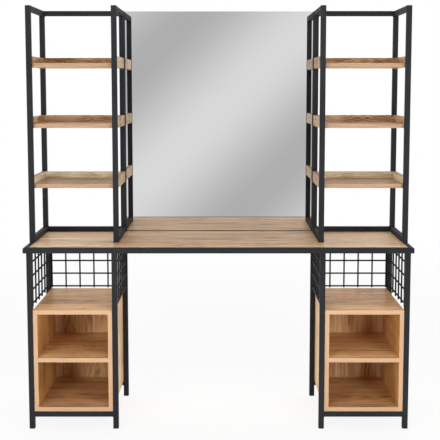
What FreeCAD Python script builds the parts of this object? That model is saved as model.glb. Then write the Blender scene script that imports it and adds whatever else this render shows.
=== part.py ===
import FreeCAD, Part
import math
import os
import re

import Sketcher

# A free-standing two-place salon station. Two storage pedestals carry one framed worktop, two open
# shelf towers stand on the worktop, and a tall mirror closes the back between the towers.
# Millimetres. X runs to the right, Y to the back and Z up. The origin is on the floor, under the
# middle of the whole station.

# Driving dimensions. The sheet holds them under the same words.
SIZES = {
    # whole station
    "station_width": 1800,
    "station_depth": 500,
    "station_height": 1975,
    "worktop_height": 860,
    # square tube of all frames
    "tube_size": 25,
    "tube_wall": 1.5,
    "tube_corner": 3,
    # boards
    "board_thickness": 20,
    "worktop_clearance": 0.5,
    # flat bars under the worktop board
    "bar_width": 40,
    "bar_thickness": 5,
    "middle_bar_spread": 320,
    # pedestals
    "leg_inset": 12.5,
    "pedestal_width": 418,
    "foot_rail_lift": 57,
    "cabinet_height": 483,
    "cabinet_recess": 5,
    "cabinet_clearance": 0.3,
    "lower_bay_height": 215.5,
    # welded wire panels between the legs
    "wire_size": 8,
    "wire_weld": 2,
    "wire_stub": 5,
    "wire_leg_gap": 0.25,
    "mesh_lift": 14,
    "mesh_row_pitch": 66,
    "mesh_column_pitch": 72,
    # towers
    "tower_width": 424,
    "tower_setback": 150,
    "tray_lift": 258,
    "tray_pitch": 285.5,
    "tray_height": 52,
    "tray_clearance": 0.3,
    "tray_side_inset": 1,
    # mirror
    "mirror_gap": 4,
    "glass_thickness": 5,
    "backing_thickness": 16,
    "mirror_lap": 4,
    "mirror_drop": 10,
    "ledge_length": 900,
    "ledge_leg": 15,
    "ledge_wall": 3,
    "spacer_radius": 6,
    # plastic plugs in the tube ends
    "plug_length": 15,
    "plug_clearance": 0.1,
    "glide_thickness": 3,
    "cap_thickness": 2,
    # fasteners
    "bore_clearance": 0.1,
    "insert_length": 20,
    "leg_screw_radius": 3,
    "leg_screw_head_radius": 6,
    "leg_screw_length": 22,
    "bolt_radius": 3,
    "bolt_head_radius": 5.5,
    "bolt_head_height": 4,
    "bolt_spare": 3,
    "nut_radius": 5.8,
    "nut_height": 5,
    "cabinet_screw_radius": 2.25,
    "cabinet_screw_head_radius": 4.5,
    "cabinet_screw_head_height": 2.5,
    "cabinet_screw_grip": 13,
    "cabinet_screw_spread": 240,
    "dowel_radius": 4,
    "dowel_length": 30,
    "dowel_depth": 12,
    "dowel_edge": 60,
    "bracket_leg": 20,
    "bracket_wall": 2,
    "tray_screw_radius": 2,
    "tray_screw_head_radius": 3.8,
    "tray_screw_head_height": 2,
    "tray_screw_grip": 16,
    "mirror_screw_radius": 2.5,
    "mirror_screw_head_radius": 5,
    "mirror_screw_grip": 5,
    "mirror_screw_edge": 100,
    "ledge_screw_radius": 2,
    "ledge_screw_head_radius": 4,
    "ledge_screw_head_height": 2,
    "ledge_screw_grip": 5,
    "ledge_screw_pitch": 200,
    "ledge_screw_rise": 6,
}

# How many of each repeated piece
WIRE_ROWS = 4
WIRE_COLUMNS = 6
TRAYS = ("lower", "middle", "upper")
LEDGE_SCREWS = 5
MIRROR_SCREW_ROWS = 3

# A cutter starts this far outside the surface it enters, and a blind bore ends this far past the tip.
CUT_OVERRUN = 1

SIDES = {"left": -1, "right": 1}
X = FreeCAD.Vector(1, 0, 0)
Y = FreeCAD.Vector(0, 1, 0)
Z = FreeCAD.Vector(0, 0, 1)

# Sums that several pieces share, in the sheet's words. Places along Y are counted from the front
# face of the worktop, and place() moves the origin to the middle.
STATION_FULL_DEPTH = "(station_depth + mirror_gap + glass_thickness + backing_thickness)"
HALF_WIDTH = "(station_width / 2)"
HALF_DEPTH = "(station_depth / 2)"
WORKTOP_UNDERSIDE = "(worktop_height - tube_size)"
LEG_TOP = WORKTOP_UNDERSIDE
OUTER_LEG = f"({HALF_WIDTH} - leg_inset - tube_size / 2)"
INNER_LEG = "(station_width / 2 - leg_inset - pedestal_width + tube_size / 2)"
PEDESTAL_CENTRE = f"(({OUTER_LEG} + {INNER_LEG}) / 2)"
PEDESTAL_CLEAR = "(pedestal_width - 2 * tube_size)"
FRONT_LEG = "(leg_inset + tube_size / 2)"
REAR_LEG = "(station_depth - leg_inset - tube_size / 2)"
CABINET_BOTTOM = "(foot_rail_lift + tube_size)"
CABINET_TOP = f"({CABINET_BOTTOM} + cabinet_height)"
CABINET_WIDTH = f"({PEDESTAL_CLEAR} - 2 * cabinet_clearance)"
CABINET_FRONT = "(leg_inset + cabinet_recess)"
CABINET_DEPTH = "(station_depth - 2 * leg_inset - 2 * cabinet_recess)"
CABINET_REAR = f"({CABINET_FRONT} + {CABINET_DEPTH})"
TOWER_OUTER_POST = f"({HALF_WIDTH} - tube_size / 2)"
TOWER_INNER_POST = f"({HALF_WIDTH} - tower_width + tube_size / 2)"
TOWER_CENTRE = f"({HALF_WIDTH} - tower_width / 2)"
TOWER_FRONT_POST = "(tower_setback + tube_size / 2)"
TOWER_REAR_POST = "(station_depth - tube_size / 2)"
POST_TOP = "(station_height - cap_thickness)"
GLASS_FRONT = "(station_depth + mirror_gap)"
BACKING_FRONT = f"({GLASS_FRONT} + glass_thickness)"
MIRROR_FOOT = "(worktop_height - mirror_drop)"

document = FreeCAD.newDocument("SalonStation")
sheet = document.addObject("Spreadsheet::Sheet", "Sizes")
for row, (word, number) in enumerate(SIZES.items(), start=1):
    sheet.set(f"A{row}", word)
    sheet.set(f"B{row}", str(number))
    sheet.setAlias(f"B{row}", word)
document.recompute()

WORDS = re.compile(r"\b(" + "|".join(SIZES) + r")\b")
nodes = []


def formula(text):
    """The expression for a sum that is written in the sheet's words."""
    return WORDS.sub(r"Sizes.\1", text)


def bind(item, **sums):
    """Ties properties of an object to the sheet."""
    for name, text in sums.items():
        item.setExpression(name, formula(text))


def place(item, spot, direction=Z):
    """Puts an object's own origin on a spot, with its own Z along a direction."""
    item.Placement = FreeCAD.Placement(FreeCAD.Vector(), FreeCAD.Rotation(Z, direction))
    x, y, z = spot
    item.setExpression("Placement.Base.x", formula(x))
    item.setExpression("Placement.Base.y", formula(f"{y} - {STATION_FULL_DEPTH} / 2"))
    item.setExpression("Placement.Base.z", formula(z))


def moved(spot, direction, distance):
    """A spot that lies a distance further along a direction."""
    return tuple(f"({start} + {part:g} * ({distance}))" for start, part in zip(spot, direction))


def node(label, item):
    """Names a finished sub-part and lists it for export."""
    item.Label = label
    nodes.append(item)
    return item


def box(name, size, centre):
    """A block about its centre."""
    item = document.addObject("Part::Box", name)
    bind(item, Length=size[0], Width=size[1], Height=size[2])
    place(item, tuple(f"{middle} - ({side}) / 2" for middle, side in zip(centre, size)))
    return item


def rod(name, radius, length, start, direction):
    """A cylinder from a spot along a direction."""
    item = document.addObject("Part::Cylinder", name)
    bind(item, Radius=radius, Height=length)
    place(item, start, direction)
    return item


def cone(name, radius, tip_radius, length, start, direction):
    """A cone from a spot along a direction."""
    item = document.addObject("Part::Cone", name)
    bind(item, Radius1=radius, Radius2=tip_radius, Height=length)
    place(item, start, direction)
    return item


def fused(name, pieces):
    item = document.addObject("Part::MultiFuse", name)
    item.Shapes = pieces
    return item


def group(name, pieces):
    item = document.addObject("Part::Compound", name)
    item.Links = pieces
    return item


def cut(name, base, tools):
    item = document.addObject("Part::Cut", name)
    item.Base = base
    item.Tool = tools[0] if len(tools) == 1 else group(name + "_cutters", tools)
    return item


def origin_plane(body, role):
    return next(feature for feature in body.Origin.OriginFeatures if feature.Role == role)


def new_sketch(body, name, role):
    sketch = body.newObject("Sketcher::SketchObject", name)
    sketch.AttachmentSupport = [(origin_plane(body, role), "")]
    sketch.MapMode = "FlatFace"
    return sketch


def name_size(sketch, index, name, text):
    sketch.renameConstraint(index, name)
    sketch.setExpression("Constraints." + name, formula(text))


def rounded_square(sketch, name, flat, corner):
    """Draws a square with round corners about the sketch's origin: four flats and four arcs."""
    reach, bend = 10.0, 2.0  # a rough start, which the constraints size
    first = sketch.GeometryCount
    for turn in range(4):
        turned = FreeCAD.Rotation(Z, 90 * turn)
        start = turned.multVec(FreeCAD.Vector(bend - reach, -reach, 0))
        end = turned.multVec(FreeCAD.Vector(reach - bend, -reach, 0))
        middle = turned.multVec(FreeCAD.Vector(reach - bend, bend - reach, 0))
        angle = math.radians(90 * turn)
        sketch.addGeometry(Part.LineSegment(start, end), False)
        sketch.addGeometry(Part.ArcOfCircle(Part.Circle(middle, Z, bend), angle - math.pi / 2, angle), False)
    for turn in range(4):
        line = first + 2 * turn
        arc = line + 1
        next_line = first + (2 * turn + 2) % 8
        sketch.addConstraint(Sketcher.Constraint("Tangent", line, 2, arc, 1))
        sketch.addConstraint(Sketcher.Constraint("Tangent", arc, 2, next_line, 1))
        sketch.addConstraint(Sketcher.Constraint("Vertical" if turn % 2 else "Horizontal", line))
        if turn:
            sketch.addConstraint(Sketcher.Constraint("Equal", first + 1, arc))
    sketch.addConstraint(Sketcher.Constraint("Equal", first, first + 2))
    sketch.addConstraint(Sketcher.Constraint("Symmetric", first + 1, 3, first + 5, 3, -1, 1))
    width = sketch.addConstraint(Sketcher.Constraint("Distance", first, 2 * (reach - bend)))
    name_size(sketch, width, name + "Flat", flat)
    radius = sketch.addConstraint(Sketcher.Constraint("Radius", first + 1, bend))
    name_size(sketch, radius, name + "Corner", corner)


TUBE_PLANE = {"X": "YZ_Plane", "Y": "XZ_Plane", "Z": "XY_Plane"}
TUBE_FLAT = "tube_size - 2 * tube_corner"


def tube(name, axis, length, centre):
    """A square tube along an axis, about its centre."""
    body = document.addObject("PartDesign::Body", name)
    sketch = new_sketch(body, name + "_profile", TUBE_PLANE[axis])
    rounded_square(sketch, "Outer", TUBE_FLAT, "tube_corner")
    rounded_square(sketch, "Inner", TUBE_FLAT, "tube_corner - tube_wall")
    pad = body.newObject("PartDesign::Pad", name + "_pad")
    pad.Profile = sketch
    pad.Midplane = True
    bind(pad, Length=length)
    place(body, centre)
    return body


def tube_plug(name, plate, plug, spot, direction):
    """A plug for a tube's end: an optional plate as wide as the tube, and a tongue inside it."""
    body = document.addObject("PartDesign::Body", name)
    if plate != "0":
        plate_sketch = new_sketch(body, name + "_plate_profile", "XY_Plane")
        rounded_square(plate_sketch, "Plate", TUBE_FLAT, "tube_corner")
        plate_pad = body.newObject("PartDesign::Pad", name + "_plate")
        plate_pad.Profile = plate_sketch
        bind(plate_pad, Length=plate)
    tongue_sketch = new_sketch(body, name + "_tongue_profile", "XY_Plane")
    tongue_flat = f"{TUBE_FLAT} - 2 * plug_clearance"
    rounded_square(tongue_sketch, "Tongue", tongue_flat, "tube_corner - tube_wall")
    tongue_pad = body.newObject("PartDesign::Pad", name + "_tongue")
    tongue_pad.Profile = tongue_sketch
    bind(tongue_pad, Length=f"{plate} + {plug}")
    place(body, spot, direction)
    return body


def pan_screw(name, size, length, seat, direction):
    """A screw with a flat head behind its seat, and the bore that its shank takes."""
    radius = size + "_radius"
    head_height = size + "_head_height"
    behind = moved(seat, direction, "-" + head_height)
    head = rod(name + "_head", size + "_head_radius", head_height, behind, direction)
    shank = rod(name + "_shank", radius, length, seat, direction)
    bore_start = moved(seat, direction, f"-{CUT_OVERRUN}")
    bore_length = f"{length} + {2 * CUT_OVERRUN}"
    bore = rod(name + "_bore", f"{radius} + bore_clearance", bore_length, bore_start, direction)
    return fused(name, [head, shank]), bore


def sunk_screw(name, size, length, seat, direction):
    """A screw with a countersunk head flush with its seat, and the bore that takes all of it."""
    radius = size + "_radius"
    head_radius = size + "_head_radius"
    head_height = f"({head_radius} - {radius})"
    head = cone(name + "_head", head_radius, radius, head_height, seat, direction)
    shank = rod(name + "_shank", radius, length, seat, direction)
    wide = [f"{head_radius} + bore_clearance", f"{radius} + bore_clearance"]
    sink = cone(name + "_sink", wide[0], wide[1], head_height, seat, direction)
    hole = rod(name + "_hole", wide[1], f"{length} + {CUT_OVERRUN}", seat, direction)
    return fused(name, [head, shank]), fused(name + "_bore", [sink, hole])


# Leg screws: down through the flat bars into a threaded insert in each leg. Each sits where the bar
# and the leg overlap, clear of the worktop's rails.
LEG_SCREW_X = {
    "outer": f"(({HALF_WIDTH} - tube_size + {OUTER_LEG} - tube_size / 2) / 2)",
    "inner": INNER_LEG,
}
LEG_X = {"outer": OUTER_LEG, "inner": INNER_LEG}
LEG_Y = {"front": FRONT_LEG, "rear": REAR_LEG}
LEG_SCREW_INSET = "((2 * tube_size + leg_inset) / 2)"
LEG_SCREW_Y = {"front": LEG_SCREW_INSET, "rear": f"(station_depth - {LEG_SCREW_INSET})"}


def leg_names():
    """Each leg as side, sign, outer or inner, and front or rear."""
    for side, sign in SIDES.items():
        for place_x in LEG_X:
            for place_y in LEG_Y:
                yield side, sign, place_x, place_y


def build_legs():
    """Eight legs with their glides and inserts, and the screws that hold the worktop."""
    glides = []
    inserts = []
    screws = []
    bar_bores = []
    for side, sign, place_x, place_y in leg_names():
        name = f"{side}_{place_x}_{place_y}_leg"
        x = f"{sign} * {LEG_X[place_x]}"
        y = LEG_Y[place_y]
        height = f"({LEG_TOP} - glide_thickness)"
        middle = f"glide_thickness + {height} / 2"
        node(name, tube(name + "_tube", "Z", height, (x, y, middle)))
        glides.append(tube_plug(name + "_glide", "glide_thickness", "plug_length", (x, y, "0"), Z))
        seat = (f"{sign} * {LEG_SCREW_X[place_x]}", LEG_SCREW_Y[place_y], f"{LEG_TOP} + bar_thickness")
        screw, bore = sunk_screw(name + "_screw", "leg_screw", "leg_screw_length", seat, -Z)
        plug = tube_plug(name + "_plug", "0", "insert_length", (x, y, LEG_TOP), -Z)
        inserts.append(cut(name + "_insert", plug, [bore]))
        screws.append(screw)
        bar_bores.append(bore)
    node("leg_glides", group("glide_set", glides))
    node("leg_inserts", group("insert_set", inserts))
    node("leg_screws", group("leg_screw_set", screws))
    return bar_bores


# Tower bolts: up through the worktop into a nut in each tower's lower side rails, between the wires.
BOLT_Y = {"front": HALF_DEPTH, "rear": f"({HALF_DEPTH} + 2 * mesh_column_pitch)"}
POST_X = {"outer": TOWER_OUTER_POST, "inner": TOWER_INNER_POST}


def build_tower_bolts():
    """Bolts and nuts, and their bores by side and by post line."""
    pieces = []
    bores = {}
    length = "(tube_size + tube_wall + nut_height + bolt_spare)"
    for side, sign in SIDES.items():
        for line, x in POST_X.items():
            for place_y, y in BOLT_Y.items():
                name = f"{side}_{line}_{place_y}_bolt"
                seat = (f"{sign} * {x}", y, WORKTOP_UNDERSIDE)
                bolt, bore = pan_screw(name, "bolt", length, seat, Z)
                nut = document.addObject("Part::Prism", name + "_nut_blank")
                nut.Polygon = 6
                bind(nut, Circumradius="nut_radius", Height="nut_height")
                place(nut, (seat[0], y, "worktop_height + tube_wall"))
                pieces += [bolt, cut(name + "_nut", nut, [bore])]
                bores.setdefault((side, line), []).append(bore)
    node("tower_bolts", group("tower_bolt_set", pieces))
    return bores


# The worktop's corners, with the direction of the mitre that runs inwards from each
CORNERS = {
    "front_left": (-1, "0", 45),
    "front_right": (1, "0", 135),
    "rear_right": (1, "station_depth", 225),
    "rear_left": (-1, "station_depth", 315),
}


def mitre_block(name, corner, at_end):
    """A block whose one face is the mitre of a corner, for a rail that ends or starts there."""
    sign, y, angle = CORNERS[corner]
    block = document.addObject("Part::Box", name)
    bind(block, Length="2 * tube_size", Width="2 * tube_size", Height=f"tube_size + {2 * CUT_OVERRUN}")
    place(block, (f"{sign} * {HALF_WIDTH}", y, f"{WORKTOP_UNDERSIDE} - {CUT_OVERRUN}"))
    block.Placement.Rotation = FreeCAD.Rotation(Z, angle - 90 if at_end else angle)
    return block


def build_worktop(bar_bores, bolt_bores, ledge_bores):
    """A mitred tube frame, six flat bars across it, and the board that lies on them."""
    middle_z = "(worktop_height - tube_size / 2)"
    side_x = f"({HALF_WIDTH} - tube_size / 2)"
    rails = {
        "front": ("X", "station_width", ("0", "tube_size / 2", middle_z), []),
        "right": ("Y", "station_depth", (side_x, HALF_DEPTH, middle_z), bolt_bores["right", "outer"]),
        "rear": ("X", "station_width", ("0", "station_depth - tube_size / 2", middle_z), ledge_bores),
        "left": ("Y", "station_depth", ("-" + side_x, HALF_DEPTH, middle_z), bolt_bores["left", "outer"]),
    }
    corners = list(CORNERS)
    for index, (place_name, (axis, length, centre, bores)) in enumerate(rails.items()):
        name = f"worktop_{place_name}_rail"
        start, end = corners[index], corners[(index + 1) % 4]
        mitres = [mitre_block(name + "_start", start, False), mitre_block(name + "_end", end, True)]
        node(name, cut(name + "_cut", tube(name + "_tube", axis, length, centre), mitres + bores))

    bar_length = "station_depth - 2 * tube_size"
    bar_z = f"{WORKTOP_UNDERSIDE} + bar_thickness / 2"
    outer_bar_x = f"({HALF_WIDTH} - tube_size - bar_width / 2)"
    bars = []
    for side, sign in SIDES.items():
        for line, x in {"outer": outer_bar_x, "inner": INNER_LEG, "middle": "middle_bar_spread / 2"}.items():
            size = ("bar_width", bar_length, "bar_thickness")
            bars.append(box(f"{side}_{line}_bar", size, (f"{sign} * {x}", HALF_DEPTH, bar_z)))
    inner_bolts = bolt_bores["left", "inner"] + bolt_bores["right", "inner"]
    node("worktop_bars", cut("worktop_bars_cut", group("bar_set", bars), bar_bores + inner_bolts))

    opening = "2 * (tube_size + worktop_clearance)"
    board_height = "(tube_size - bar_thickness)"
    board_size = (f"station_width - {opening}", f"station_depth - {opening}", board_height)
    board = box("worktop_blank", board_size, ("0", HALF_DEPTH, f"worktop_height - {board_height} / 2"))
    node("worktop_board", cut("worktop_board_cut", board, inner_bolts))


def build_foot_rails(side, sign):
    """The two rails that carry a cabinet, the screws that hold it from below, and their bores."""
    rails = []
    screws = []
    bores = {}
    for place_y, y in LEG_Y.items():
        name = f"{side}_{place_y}_foot_rail"
        x = f"{sign} * {PEDESTAL_CENTRE}"
        rail = tube(name + "_tube", "X", PEDESTAL_CLEAR, (x, y, "foot_rail_lift + tube_size / 2"))
        bores[place_y] = []
        for end in (-1, 1):
            seat = (f"{x} + {end} * cabinet_screw_spread / 2", y, "foot_rail_lift")
            length = "tube_size + cabinet_screw_grip"
            screw_name = f"{name}_screw_{'inner' if end * sign < 0 else 'outer'}"
            screw, bore = pan_screw(screw_name, "cabinet_screw", length, seat, Z)
            screws.append(screw)
            bores[place_y].append(bore)
        rails.append(cut(name, rail, bores[place_y]))
    node(f"{side}_foot_rails", group(f"{side}_foot_rail_set", rails))
    return screws, bores


def dowel(name, middle, direction):
    """A dowel across a joint, and its bore in both boards."""
    start = moved(middle, direction, "-dowel_depth")
    peg = rod(name, "dowel_radius", "dowel_length", start, direction)
    bore_start = moved(start, direction, f"-{CUT_OVERRUN}")
    bore_length = f"dowel_length + {2 * CUT_OVERRUN}"
    bore = rod(name + "_bore", "dowel_radius + bore_clearance", bore_length, bore_start, direction)
    return peg, bore


def build_cabinet(side, sign, screw_bores):
    """An open cabinet of six boards, with one fixed shelf, dowelled together. The back stands behind
    the shelf and the bottom, and takes the rear screws."""
    centre_x = f"{sign} * {PEDESTAL_CENTRE}"
    middle_y = f"({CABINET_FRONT} + {CABINET_DEPTH} / 2)"
    side_height = "(cabinet_height - board_thickness)"
    inner_width = f"({CABINET_WIDTH} - 2 * board_thickness)"
    inner_depth = f"({CABINET_DEPTH} - board_thickness)"
    shelf_z = f"({CABINET_BOTTOM} + 1.5 * board_thickness + lower_bay_height)"
    side_offset = f"({CABINET_WIDTH} - board_thickness) / 2"
    side_x = {
        "inner": f"({centre_x} - {sign} * {side_offset})",
        "outer": f"({centre_x} + {sign} * {side_offset})",
    }
    dowel_rows = {"front": f"({CABINET_FRONT} + dowel_edge)", "rear": f"({CABINET_REAR} - 2 * dowel_edge)"}

    pegs = []
    bores = {board: [] for board in ("top", "bottom", "shelf", "inner", "outer")}
    levels = {"bottom": f"({CABINET_BOTTOM} + board_thickness / 2)", "shelf": shelf_z}
    for line in side_x:
        outwards = sign if line == "outer" else -sign
        face_x = f"({side_x[line]} - {outwards} * board_thickness / 2)"
        for row, y in dowel_rows.items():
            joint = (side_x[line], y, f"({CABINET_TOP} - board_thickness)")
            peg, bore = dowel(f"{side}_top_{line}_{row}_dowel", joint, -Z)
            pegs.append(peg)
            bores["top"].append(bore)
            bores[line].append(bore)
            for level, z in levels.items():
                name = f"{side}_{level}_{line}_{row}_dowel"
                peg, bore = dowel(name, (face_x, y, z), -outwards * X)
                pegs.append(peg)
                bores[level].append(bore)
                bores[line].append(bore)

    def board(part, size, centre, cutters):
        name = f"{side}_cabinet_{part}"
        node(name, cut(name + "_cut", box(name + "_blank", size, centre), cutters))

    top_centre = (centre_x, middle_y, f"{CABINET_TOP} - board_thickness / 2")
    board("top", (CABINET_WIDTH, CABINET_DEPTH, "board_thickness"), top_centre, bores["top"])
    bores["bottom"] += screw_bores["front"]
    for level, z in levels.items():
        centre = (centre_x, f"{CABINET_FRONT} + {inner_depth} / 2", z)
        board(level, (inner_width, inner_depth, "board_thickness"), centre, bores[level])
    side_size = ("board_thickness", CABINET_DEPTH, side_height)
    side_z = f"{CABINET_BOTTOM} + {side_height} / 2"
    for line, x in side_x.items():
        board(f"{line}_side", side_size, (x, middle_y, side_z), bores[line])
    back_centre = (centre_x, f"{CABINET_REAR} - board_thickness / 2", side_z)
    board("back", (inner_width, "board_thickness", side_height), back_centre, screw_bores["rear"])
    return pegs


WIRE_PLANE = "((wire_size - wire_weld) / 2)"
MESH_ROW = f"({CABINET_TOP} + mesh_lift)"
COLUMN_FOOT = f"({MESH_ROW} - wire_size / 2 - wire_stub)"
COLUMN_HEIGHT = f"({WORKTOP_UNDERSIDE} - {COLUMN_FOOT})"


def wire(name, length, start, direction):
    return rod(name, "wire_size / 2", length, start, direction)


def build_side_mesh(side, sign, line):
    """A wire panel between a front and a rear leg. Its rows are on the far side of the pedestal."""
    name = f"{side}_{line}_mesh"
    outwards = sign if line == "outer" else -sign
    row_x = f"{sign} * {LEG_X[line]} + {outwards} * {WIRE_PLANE}"
    column_x = f"{sign} * {LEG_X[line]} - {outwards} * {WIRE_PLANE}"
    row_length = "station_depth - 2 * leg_inset - 2 * tube_size"
    wires = []
    for row in range(WIRE_ROWS):
        z = f"{MESH_ROW} + {row} * mesh_row_pitch"
        wires.append(wire(f"{name}_row_{row}", row_length, (row_x, "leg_inset + tube_size", z), Y))
    for column in range(WIRE_COLUMNS):
        y = f"{HALF_DEPTH} + {column - (WIRE_COLUMNS - 1) / 2} * mesh_column_pitch"
        wires.append(wire(f"{name}_column_{column}", COLUMN_HEIGHT, (column_x, y, COLUMN_FOOT), Z))
    node(name, fused(name + "_weld", wires))


def build_rear_mesh(side, sign):
    """A wire panel between the two rear legs. Its end columns stand beside the legs."""
    name = f"{side}_rear_mesh"
    centre_x = f"{sign} * {PEDESTAL_CENTRE}"
    pitch = f"({PEDESTAL_CLEAR} - wire_size - 2 * wire_leg_gap) / {WIRE_COLUMNS - 1}"
    wires = []
    for row in range(WIRE_ROWS):
        start = (f"{centre_x} - {PEDESTAL_CLEAR} / 2", f"{REAR_LEG} - {WIRE_PLANE}",
                 f"{MESH_ROW} + {row} * mesh_row_pitch")
        wires.append(wire(f"{name}_row_{row}", PEDESTAL_CLEAR, start, X))
    for column in range(WIRE_COLUMNS):
        x = f"{centre_x} + {column - (WIRE_COLUMNS - 1) / 2} * {pitch}"
        start = (x, f"{REAR_LEG} + {WIRE_PLANE}", COLUMN_FOOT)
        wires.append(wire(f"{name}_column_{column}", COLUMN_HEIGHT, start, Z))
    node(name, fused(name + "_weld", wires))


def build_pedestals():
    screws = []
    pegs = []
    for side, sign in SIDES.items():
        side_screws, bores = build_foot_rails(side, sign)
        screws += side_screws
        pegs += build_cabinet(side, sign, bores)
        build_side_mesh(side, sign, "outer")
        build_side_mesh(side, sign, "inner")
        build_rear_mesh(side, sign)
    node("cabinet_screws", group("cabinet_screw_set", screws))
    node("cabinet_dowels", group("dowel_set", pegs))


def build_tower_frame(side, sign, line, bolt_bores, mirror_bores):
    """The two posts and two rails of one side of a tower, butted and welded."""
    name = f"{side}_tower_{line}_frame"
    x = f"{sign} * {POST_X[line]}"
    height = f"({POST_TOP} - worktop_height)"
    rail_length = "(station_depth - tower_setback - 2 * tube_size)"
    rail_y = f"(tower_setback + tube_size + {rail_length} / 2)"
    post_z = f"worktop_height + {height} / 2"
    front = tube(name + "_front_post", "Z", height, (x, TOWER_FRONT_POST, post_z))
    rear = tube(name + "_rear_post", "Z", height, (x, TOWER_REAR_POST, post_z))
    foot = tube(name + "_foot_rail", "Y", rail_length, (x, rail_y, "worktop_height + tube_size / 2"))
    head = tube(name + "_head_rail", "Y", rail_length, (x, rail_y, "station_height - tube_size / 2"))
    foot = cut(name + "_foot", foot, bolt_bores)
    if mirror_bores:
        rear = cut(name + "_rear", rear, mirror_bores)
    node(name, group(name + "_set", [front, rear, foot, head]))


def build_rear_rails(side, sign):
    """The upper and lower rails between a tower's rear posts."""
    length = "(tower_width - 2 * tube_size)"
    levels = {"lower": "worktop_height + tube_size / 2", "upper": "station_height - tube_size / 2"}
    rails = []
    for level, z in levels.items():
        centre = (f"{sign} * {TOWER_CENTRE}", TOWER_REAR_POST, z)
        rails.append(tube(f"{side}_tower_{level}_rear_rail", "X", length, centre))
    node(f"{side}_tower_rear_rails", group(f"{side}_tower_rear_rail_set", rails))


TRAY_FRONT = "(tower_setback + tube_size)"
TRAY_REAR = "(station_depth - tube_size)"


def build_tray(side, sign, level, bottom_z):
    """A shallow tray between a tower's posts: bottom, two sides and a back. Four brackets carry it,
    with one screw each into the tray's sides."""
    name = f"{side}_{level}_tray"
    centre_x = f"{sign} * {TOWER_CENTRE}"
    depth = f"({TRAY_REAR} - {TRAY_FRONT} - 2 * tray_clearance)"
    middle_y = f"({TRAY_FRONT} + {TRAY_REAR}) / 2"
    width = "(tower_width - 2 * tray_side_inset)"
    inner_width = f"({width} - 2 * board_thickness)"
    side_offset = f"({width} - board_thickness) / 2"
    middle_z = f"{bottom_z} + tray_height / 2"
    bottom_depth = f"({depth} - board_thickness)"
    bottom_y = f"{TRAY_FRONT} + tray_clearance + {bottom_depth} / 2"
    back_y = f"{TRAY_REAR} - tray_clearance - board_thickness / 2"
    brackets = []
    screws = []
    bores = {-1: [], 1: []}
    for end in bores:
        post_x = f"({centre_x} + {end} * (tower_width - tube_size) / 2)"
        board_x = f"({centre_x} + {end} * {side_offset})"
        for place_y, (face, inwards) in {"front": (TRAY_FRONT, 1), "rear": (TRAY_REAR, -1)}.items():
            bracket_name = f"{name}_{'left' if end < 0 else 'right'}_{place_y}"
            plate_y = f"{face} + {inwards} * bracket_wall / 2"
            plate = box(bracket_name + "_plate", ("board_thickness", "bracket_wall", "bracket_leg"),
                        (post_x, plate_y, f"{bottom_z} - bracket_leg / 2"))
            seat_y = f"{face} + {inwards} * bracket_leg / 2"
            seat = box(bracket_name + "_seat", ("board_thickness", "bracket_leg", "bracket_wall"),
                       (post_x, seat_y, f"{bottom_z} - bracket_wall / 2"))
            angle = fused(bracket_name + "_angle", [plate, seat])
            spot = (board_x, seat_y, f"{bottom_z} - bracket_wall")
            screw, bore = pan_screw(bracket_name + "_screw", "tray_screw", "tray_screw_grip", spot, Z)
            brackets.append(cut(bracket_name + "_bracket", angle, [bore]))
            screws.append(screw)
            bores[end].append(bore)
    boards = [
        box(name + "_bottom", (inner_width, bottom_depth, "board_thickness"),
            (centre_x, bottom_y, f"{bottom_z} + board_thickness / 2")),
        box(name + "_back", (inner_width, "board_thickness", "tray_height"), (centre_x, back_y, middle_z)),
    ]
    for end, own_bores in bores.items():
        board_x = f"({centre_x} + {end} * {side_offset})"
        size = ("board_thickness", depth, "tray_height")
        side_name = f"{name}_{'left' if end < 0 else 'right'}_side"
        blank = box(side_name + "_blank", size, (board_x, middle_y, middle_z))
        boards.append(cut(side_name, blank, own_bores))
    node(name, group(name + "_set", boards))
    return brackets, screws


def build_towers(bolt_bores, mirror_bores):
    brackets = []
    screws = []
    caps = []
    for side, sign in SIDES.items():
        for line, x in POST_X.items():
            rear_bores = mirror_bores[side] if line == "inner" else []
            build_tower_frame(side, sign, line, bolt_bores[side, line], rear_bores)
            for place_y, y in {"front": TOWER_FRONT_POST, "rear": TOWER_REAR_POST}.items():
                name = f"{side}_{line}_{place_y}_cap"
                spot = (f"{sign} * {x}", y, "station_height")
                caps.append(tube_plug(name, "cap_thickness", "plug_length", spot, -Z))
        build_rear_rails(side, sign)
        for index, level in enumerate(TRAYS):
            bottom_z = f"(worktop_height + tray_lift + {index} * tray_pitch)"
            tray_brackets, tray_screws = build_tray(side, sign, level, bottom_z)
            brackets += tray_brackets
            screws += tray_screws
    node("tray_brackets", group("bracket_set", brackets))
    node("tray_screws", group("tray_screw_set", screws))
    node("post_caps", group("cap_set", caps))


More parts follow.
